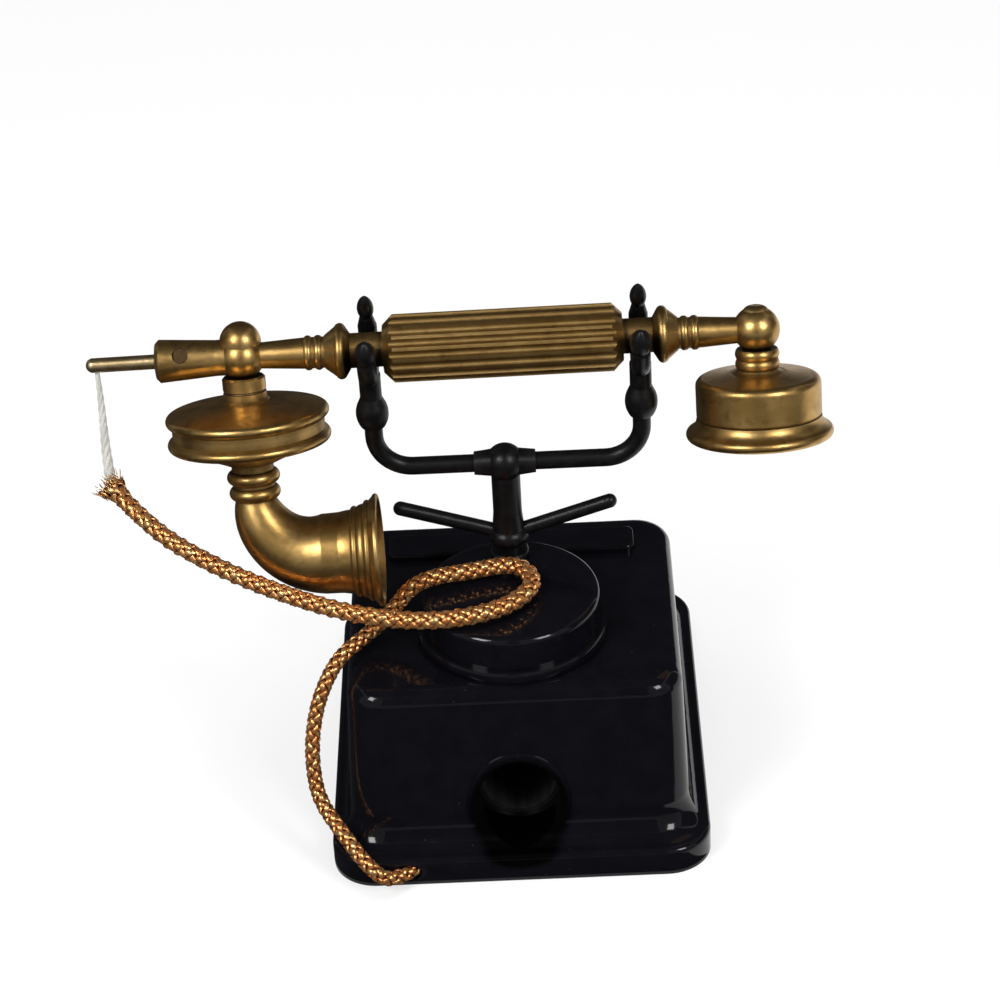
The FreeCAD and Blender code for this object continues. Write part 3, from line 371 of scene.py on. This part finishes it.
def makeBrass(name, look, scale, reach, gain):
    material, tree, shader = newMaterial(name, Metallic=1.0)
    cloudy = use(tree, mottle, -1500, 300, Scale=scale, Low=0.36, High=0.66)
    browned = use(tree, mottle, -1500, 60, Scale=scale * 2.7, Low=0.52, High=0.72)
    dirtAndShade = use(tree, recessDirtAndShade, -1500, -160, Reach=reach, Gain=gain)
    edge = use(tree, rubbed, -1500, -320, Reach=0.00035, Gain=2.2, Scale=700)
    colour = layered(tree, look["middle"], [
        (cloudy["Mask"], 1, look["bright"]),
        (browned["Mask"], 0.45, look["brown"]),
        (dirtAndShade["Mask"], 1, look["grimeAndShade"]),
        (edge["Mask"], 0.5, look["rubbed"]),
    ])
    polish = spread(tree, -800, -120, cloudy["Fine"], low=0.25, high=0.45)
    dull = scaled(tree, -800, -220, dirtAndShade["Mask"], 0.25)
    rough = combine(tree, "ADD", -560, -120, polish, dull, clamp=True)
    dress(tree, shader, colour, cloudy["Fine"], strength=0.25, distance=0.00005, rough=rough)
    return material


agedBrass = makeBrass("agedBrass", brassLook, scale=260, reach=0.0013, gain=1.7)
paleBrass = makeBrass("paleBrass", paleLook, scale=420, reach=0.0006, gain=1.2)

# painted shade on the necks, from the forks that hold them, with some dirt: a wide, strong recess mask darkens
# them
collarBrass = makeBrass("collarBrass", brassLook, scale=260, reach=0.0034, gain=2.3)

# stoved black enamel with a faint orange peel, dust and hairlines, and painted shade round the front opening
enamelLook = {
    "deep": (0.0030, 0.0029, 0.0043),
    "light": (0.0040, 0.0038, 0.0056),
    "dust": (0.03, 0.03, 0.033),
    "edge": (0.02, 0.0195, 0.022),
    "holeShade": (0.0005, 0.0004, 0.0005),
}
blackEnamel, tree, shader = newMaterial("blackEnamel", IOR=1.5, Specular_IOR_Level=0.26)
# this mask paints shade round the front opening
holeShade = use(tree, entry, -1500, 420)
dusty = use(tree, specks, -1500, 200, Scale=760, Size=0.08, Scratch_Scale=230)
peel = use(tree, mottle, -1500, -100, Scale=420, Low=0.3, High=0.7)
edge = use(tree, rubbed, -1500, -300, Reach=0.0005, Gain=1.6, Scale=500)
colour = layered(tree, enamelLook["deep"], [
    (peel["Mask"], 1, enamelLook["light"]),
    (dusty["Dust"], 0.4, enamelLook["dust"]),
    (edge["Mask"], 0.3, enamelLook["edge"]),
    (holeShade["Mask"], 1, enamelLook["holeShade"]),
])
gloss = spread(tree, -800, -120, dusty["Scratch"], low=0.10, high=0.24)
dull = scaled(tree, -800, -220, holeShade["Mask"], 0.04)
rough = combine(tree, "ADD", -560, -120, gloss, dull, clamp=True)
dress(tree, shader, colour, peel["Fine"], strength=0.06, distance=0.00004, rough=rough)

# satin black paint on the cast cradle, thin on its edges
cradleLook = {
    "deep": (0.0026, 0.0026, 0.0031),
    "light": (0.0055, 0.0053, 0.006),
    "edge": (0.03, 0.026, 0.023),
    "grimeAndShade": (0.002, 0.0019, 0.0019),
}
cradlePaint, tree, shader = newMaterial("cradlePaint", IOR=1.48, Specular_IOR_Level=0.25)
edge = use(tree, rubbed, -1500, 100, Reach=0.0004, Gain=1.7, Scale=1100)
cast = use(tree, mottle, -1500, -120, Scale=900, Low=0.35, High=0.7)
dirtAndShade = use(tree, recessDirtAndShade, -1500, -300, Reach=0.0008, Gain=1.2)
colour = layered(tree, cradleLook["deep"], [
    (cast["Mask"], 1, cradleLook["light"]),
    (edge["Mask"], 0.4, cradleLook["edge"]),
    (dirtAndShade["Mask"], 0.6, cradleLook["grimeAndShade"]),
])
rough = spread(tree, -800, -120, cast["Fine"], low=0.22, high=0.45)
dress(tree, shader, colour, cast["Fine"], strength=0.3, distance=0.00006, rough=rough)

# moulded black plastic with a fine spark-eroded grain
plateLook = {
    "deep": (0.010, 0.010, 0.011),
    "light": (0.020, 0.020, 0.022),
    "edge": (0.06, 0.06, 0.062),
}
plateBlack, tree, shader = newMaterial("plateBlack", IOR=1.47)
moulded = use(tree, mottle, -1500, 100, Scale=1500, Low=0.3, High=0.7)
edge = use(tree, rubbed, -1500, -140, Reach=0.0005, Gain=1.3, Scale=600)
colour = layered(tree, plateLook["deep"], [
    (moulded["Mask"], 1, plateLook["light"]),
    (edge["Mask"], 0.4, plateLook["edge"]),
])
rough = spread(tree, -800, -120, moulded["Fine"], low=0.38, high=0.6)
dress(tree, shader, colour, moulded["Fine"], strength=0.5, distance=0.00005, rough=rough)

steelLook = {"grimeAndShade": (0.02, 0.019, 0.018), "stretch": (1, 0.07, 1)}


def makeSteel(name, light, dark, scale, low, high, reach=0.0008, gain=1.2):
    # metal with a grain drawn out along Y
    material, tree, shader = newMaterial(name, Metallic=1.0)
    drawn = put(tree, "ShaderNodeMapping", -1500, 200, {
        "Vector": objectPlace(tree, -1700, 200), "Scale": steelLook["stretch"]})
    grain = put(tree, "ShaderNodeTexNoise", -1300, 200, {
        "Vector": drawn.outputs[0], "Scale": scale, "Detail": 4}).outputs["Fac"]
    dirtAndShade = use(tree, recessDirtAndShade, -1300, -60, Reach=reach, Gain=gain)
    colour = layered(tree, dark, [(grain, 1, light), (dirtAndShade["Mask"], 0.85, steelLook["grimeAndShade"])])
    rough = spread(tree, -800, -120, grain, low, high)
    dress(tree, shader, colour, grain, strength=0.15, distance=0.00003, rough=rough)
    return material


brightSteel = makeSteel(
    "brightSteel", light=(0.62, 0.62, 0.64), dark=(0.40, 0.40, 0.42), scale=2600, low=0.18, high=0.34)
# its wide recess reach darkens the throat seen through the front opening: painted shade, along with graphite
# dirt
blockAlloy = makeSteel(
    "blockAlloy", light=(0.50, 0.51, 0.53), dark=(0.33, 0.34, 0.36), scale=1700, low=0.28, high=0.48,
    reach=0.007, gain=1.5)

# the screw in the stub's cross hole, dark brown
brownSteel = makeSteel(
    "brownSteel", light=(0.10, 0.062, 0.028), dark=(0.035, 0.022, 0.012), scale=2400, low=0.35, high=0.55)

# every other node is of aged brass
finishes = {
    "base_plate": plateBlack, "sharpener_block": blockAlloy, "cord_pin": paleBrass, "pin_screw": brownSteel,
}
for material, names in (
        (blackEnamel, ("base_casing", "drum_cap")),
        (cradlePaint, ("cradle_post", "cradle_yoke", "left_fork", "right_fork")),
        (brightSteel, ("sharpener_blade", "blade_screw", "block_screws", "drum_screw", "post_nut", "tie_rod")),
        (collarBrass, ("left_collar", "right_collar"))):
    for name in names:
        finishes[name] = material
for name, node in nodes.items():
    material = finishes.get(name, agedBrass)
    if len(node.material_slots) == 0:
        node.data.materials.append(material)
    for place in node.material_slots:
        place.material = material
print("finishes on", len(nodes), "nodes")


cord = {
    "diameter": 0.0021,
    "exit": (-0.0126, -0.0252, 0.00165),
    "route": [
        (-0.0114886, -0.0240491, 0.00165), (-0.0144061, -0.0270703, 0.00165), (-0.0170, -0.0266, 0.0042),
        (-0.0196, -0.0228, 0.0057), (-0.0219, -0.0196, 0.0073), (-0.0227, -0.0176, 0.0096),
        (-0.0226, -0.0165, 0.0143), (-0.0215, -0.0151, 0.0188), (-0.0194, -0.0130, 0.02215),
        (-0.0170, -0.0102, 0.0226), (-0.0146, -0.0083, 0.0234), (-0.0128, -0.0073, 0.0250),
        (-0.0109, -0.0068, 0.0273), (-0.0084, -0.0061, 0.02795), (-0.0046, -0.0050, 0.02765),
        (0.0002, -0.00375, 0.02765), (0.0023, -0.0057, 0.02765), (0.0025, -0.0089, 0.02765),
        (-0.0012, -0.0127, 0.02765), (-0.0084, -0.0146, 0.0278), (-0.0166, -0.0140, 0.0287),
        (-0.0246, -0.0115, 0.03015), (-0.0324, -0.0087, 0.03255), (-0.0392, -0.0056, 0.0357),
        (-0.0433265, -0.0012614, 0.0384583),
    ],
    "resolution": 24,
    "strands": 4,  # each way round
    "lead": 0.0056,
    "middle": 0.00070,  # radius at which the strands cross
    "weave": 0.00017,
    "thick": 0.00020,
    "wide": 0.00041,
    "liner": 0.00058,
    "drawn": 0.84,  # size of the first part, where the braid is drawn thin
    "drawnUntil": 0.030,
    "drawnFade": 0.035,  # length over which it comes to its full size
    "flare": 0.0026,  # length of the opened end
    "opening": 0.95,
    "linerOpening": 0.3,
    "fray": (0.75, 1.25),
}
hairs = {
    "count": 40,
    "wander": (-0.1, 0.1),
    "reach": (0.0005, 0.0016),
    "lean": (-0.25, 0.8),
    "radius": (0.0010, 0.0016),
    "root": 0.0005,  # how far inside the braid a hair begins
    "bend": 0.25,
    "tipBend": 0.8,
    "kink": 0.02,
    "wide": 0.00010,
    "thick": 0.00006,
    "taper": [1, 1, 0.9, 0.75, 0.3],
}


def readLine(name, route, resolution):
    # the route's spline, read back as points
    curve = bpy.data.curves.new(name, "CURVE")
    curve.dimensions = "3D"
    spline = curve.splines.new("NURBS")
    spline.points.add(len(route) - 1)
    for point, place in zip(spline.points, route):
        point.co = (*place, 1)
    spline.order_u = 3
    spline.use_endpoint_u = True
    spline.resolution_u = resolution
    holder = bpy.data.objects.new(name, curve)
    scene.collection.objects.link(holder)
    bpy.context.view_layer.update()
    mesh = bpy.data.meshes.new_from_object(holder)
    line = [v.co.copy() for v in mesh.vertices]
    bpy.data.objects.remove(holder)
    bpy.data.meshes.remove(mesh)
    bpy.data.curves.remove(curve)
    return line


def aheadOf(line, count):
    # direction of the line at one of its points
    return (line[min(count + 1, len(line) - 1)] - line[max(count - 1, 0)]).normalized()


def carriedFrames(line):
    # length so far, and two crosswise directions carried along the line without twist
    rows = []
    length = 0
    side = None
    for count, point in enumerate(line):
        ahead = aheadOf(line, count)
        if side is None:
            side = ahead.orthogonal().normalized()
        else:
            length += (point - line[count - 1]).length
            side = (side - ahead * side.dot(ahead)).normalized()
        rows.append((length, point, side, ahead.cross(side)))
    return rows


def outwardAt(side, other, angle):
    return side * math.cos(angle) + other * math.sin(angle)


class Skein:
    # collects the strands of one piece as a mesh with a UV map and a tint for each strand
    def __init__(self):
        self.points, self.faces, self.uvs, self.tints, self.kinds = [], [], [], [], []

    def strand(self, line, outward, wide, thick, tint, kind=0, sides=6, taper=None):
        first = len(self.points)
        along = 0
        for count, point in enumerate(line):
            step = (point - line[count - 1]).length if count else 0
            along += step
            ahead = aheadOf(line, count)
            out = outward[count]
            out = (out - ahead * out.dot(ahead)).normalized()
            across = ahead.cross(out)
            size = taper[count] if taper else 1
            for corner in range(sides):
                angle = 2 * math.pi * corner / sides
                sideways = across * (math.cos(angle) * wide * size)
                self.points.append(point + sideways + out * (math.sin(angle) * thick * size))
                self.tints.append(tint)
            if count:
                low, high = first + (count - 1) * sides, first + count * sides
                for corner in range(sides):
                    after = (corner + 1) % sides
                    self.faces.append((low + corner, low + after, high + after, high + corner))
                    left, right = corner / sides, (corner + 1) / sides
                    back = along - step
                    self.uvs += [(back, left), (back, right), (along, right), (along, left)]
                    self.kinds.append(kind)
        for start, flip in ((first, True), (first + (len(line) - 1) * sides, False)):
            ring = list(range(start, start + sides))
            self.faces.append(tuple(reversed(ring)) if flip else tuple(ring))
            self.uvs += [(0, 0)] * sides
            self.kinds.append(kind)

    def piece(self, name, materials):
        mesh = bpy.data.meshes.new(name)
        mesh.from_pydata(self.points, [], self.faces)
        layer = mesh.uv_layers.new(name="fibre")
        layer.data.foreach_set("uv", [x for uv in self.uvs for x in uv])
        tint = mesh.attributes.new("strandTint", "FLOAT", "POINT")
        tint.data.foreach_set("value", self.tints)
        mesh.polygons.foreach_set("material_index", self.kinds)
        mesh.polygons.foreach_set("use_smooth", [True] * len(mesh.polygons))
        for material in materials:
            mesh.materials.append(material)
        mesh.update()
        piece = bpy.data.objects.new(name, mesh)
        scene.collection.objects.link(piece)
        return piece


def fibres(tree, lengthwise, around):
    # fine lines along a strand, from its UV map
    layer = put(tree, "ShaderNodeUVMap", -1900, -200, uv_map="fibre")
    stretch = put(tree, "ShaderNodeMapping", -1720, -200, {
        "Vector": layer.outputs[0], "Scale": (lengthwise, around, 1)})
    lines = put(tree, "ShaderNodeTexNoise", -1540, -200, {
        "Vector": stretch.outputs[0], "Scale": 1, "Detail": 3, "Roughness": 0.6})
    return lines.outputs["Fac"]


def strandTint(tree):
    return put(tree, "ShaderNodeAttribute", -1300, 300, attribute_name="strandTint").outputs["Fac"]


braidLook = {
    "copper": (0.97, 0.40, 0.13),
    "gold": (1.0, 0.66, 0.28),
    "line": (0.60, 0.21, 0.06),
    "gapShade": (0.13, 0.022, 0.006),
    "linerDark": (0.09, 0.026, 0.007),
    "linerLight": (0.22, 0.07, 0.018),
}
copperBraid, tree, shader = newMaterial("copperBraid", Metallic=0.86)
lines = fibres(tree, lengthwise=500, around=22)
# painted shade: the recess mask darkens the gaps between the strands
dirtAndShade = use(tree, recessDirtAndShade, -1300, 60, Reach=0.00045, Gain=1.8)
colour = layered(tree, braidLook["copper"], [
    (strandTint(tree), 1, braidLook["gold"]),
    (lines, 0.3, braidLook["line"]),
    (dirtAndShade["Mask"], 1, braidLook["gapShade"]),
])
rough = spread(tree, -800, -120, lines, low=0.12, high=0.32)
dress(tree, shader, colour, lines, strength=0.55, distance=0.00006, rough=rough)

# the dark liner inside the braid is painted shade, seen through the gaps between the strands
braidShadeLiner, tree, shader = newMaterial("braidShadeLiner", Roughness=0.7)
lines = fibres(tree, lengthwise=900, around=30)
colour = layered(tree, braidLook["linerDark"], [(lines, 1, braidLook["linerLight"])])
dress(tree, shader, colour, lines, strength=0.4, distance=0.00005)

cottonLook = {
    "grey": (0.50, 0.50, 0.46),
    "white": (0.64, 0.64, 0.59),
    "line": (0.36, 0.36, 0.33),
}
coreCotton, tree, shader = newMaterial(
    "coreCotton", Roughness=0.85, Sheen_Weight=0.25, Sheen_Roughness=0.5)
lines = fibres(tree, lengthwise=700, around=16)
colour = layered(tree, cottonLook["grey"], [
    (strandTint(tree), 1, cottonLook["white"]),
    (lines, 0.55, cottonLook["line"]),
])
dress(tree, shader, colour, lines, strength=0.5, distance=0.00008)

sheathLine = readLine("cordRoute", cord["route"], cord["resolution"])
sheathRows = carriedFrames(sheathLine)
sheathLength = sheathRows[-1][0]
print("cord line: %d points, %.1f mm" % (len(sheathLine), sheathLength * 1000))

random.seed(7)
braid = Skein()
linerOut, linerSize, fullness, opened = [], [], [], []
for length, point, side, other in sheathRows:
    relaxed = min(1, max(0, (length - cord["drawnUntil"]) / cord["drawnFade"]))
    eased = relaxed * relaxed * (3 - 2 * relaxed)
    fullness.append(cord["drawn"] + (1 - cord["drawn"]) * eased)
    opened.append(max(0, 1 - (sheathLength - length) / cord["flare"]) ** 2)
    linerOut.append(side)
    linerSize.append(fullness[-1] * (1 + cord["linerOpening"] * opened[-1]))
# the liner tube, painted shade inside the braid
braid.strand(sheathLine, linerOut, cord["liner"], cord["liner"], 0, kind=1, sides=10, taper=linerSize)
turnRate = 2 * math.pi / cord["lead"]
for way in (1, -1):
    for count in range(cord["strands"]):
        line, outward = [], []
        fray = random.uniform(*cord["fray"])
        for (length, point, side, other), full, wider in zip(sheathRows, fullness, opened):
            angle = way * turnRate * length + 2 * math.pi * count / cord["strands"]
            out = outwardAt(side, other, angle)
            over = way * cord["weave"] * math.cos(cord["strands"] * turnRate * length)
            radius = (cord["middle"] + over) * full * (1 + cord["opening"] * fray * wider)
            line.append(point + out * radius)
            outward.append(out)
        braid.strand(line, outward, cord["wide"], cord["thick"], random.random(), taper=fullness)

# loose metal hairs at the opened end
endPoint, endSide, endOther = sheathRows[-1][1:]
endAhead = (sheathLine[-1] - sheathLine[-2]).normalized()
for count in range(hairs["count"]):
    angle = 2 * math.pi * count / hairs["count"] + random.uniform(*hairs["wander"])
    out = outwardAt(endSide, endOther, angle)
    reach = random.uniform(*hairs["reach"])
    lean = random.uniform(*hairs["lean"])
    start = endPoint + out * random.uniform(*hairs["radius"]) - endAhead * hairs["root"]
    middle = start + endAhead * reach * 0.5 + out * reach * lean * hairs["bend"]
    tip = start + endAhead * reach + out * reach * lean * hairs["tipBend"]
    beforeTip = middle.lerp(tip, 0.5) + out * reach * hairs["kink"]
    line = [start, start.lerp(middle, 0.5), middle, beforeTip, tip]
    braid.strand(
        line, [out] * len(line), hairs["wide"], hairs["thick"], random.random(), sides=4,
        taper=hairs["taper"])
cordSheath = braid.piece("cordSheath", [copperBraid, braidShadeLiner])
print("braid:", len(cordSheath.data.polygons), "faces")

thread = {
    "route": [
        (-0.04355, -0.00016, 0.05375), (-0.043477, -0.000161, 0.0530), (-0.043427, -0.000261, 0.049328),
        (-0.043577, -0.000511, 0.044378), (-0.04352, -0.00085, 0.0402), (-0.0433, -0.0013, 0.0384),
        (-0.0416, -0.0030, 0.0372),
    ],
    "resolution": 20,
    "plies": 4,
    "lead": 0.0052,
    "middle": 0.00024,  # radius of the plies' middle lines
    "ply": 0.00025,
    "tight": 0.48,  # size at the pin
    "slack": 0.8,  # what it gains towards the braid
    "slackRate": 1.3,
}
threadLine = readLine("threadRoute", thread["route"], thread["resolution"])
threadRows = carriedFrames(threadLine)
threadLength = threadRows[-1][0]
cotton = Skein()
for count in range(thread["plies"]):
    line, outward, size = [], [], []
    for length, point, side, other in threadRows:
        loose = thread["tight"] + thread["slack"] * min(1, length / threadLength * thread["slackRate"])
        angle = 2 * math.pi * (length / thread["lead"] + count / thread["plies"])
        out = outwardAt(side, other, angle)
        line.append(point + out * thread["middle"] * loose)
        outward.append(out)
        size.append(loose)
    cotton.strand(line, outward, thread["ply"], thread["ply"], random.random(), sides=8, taper=size)
coreThread = cotton.piece("coreThread", [coreCotton])
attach(coreThread, "handset")
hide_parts("core_thread")

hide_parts("cord_sheath")
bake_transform(cordSheath)
print("cord and core thread ready")
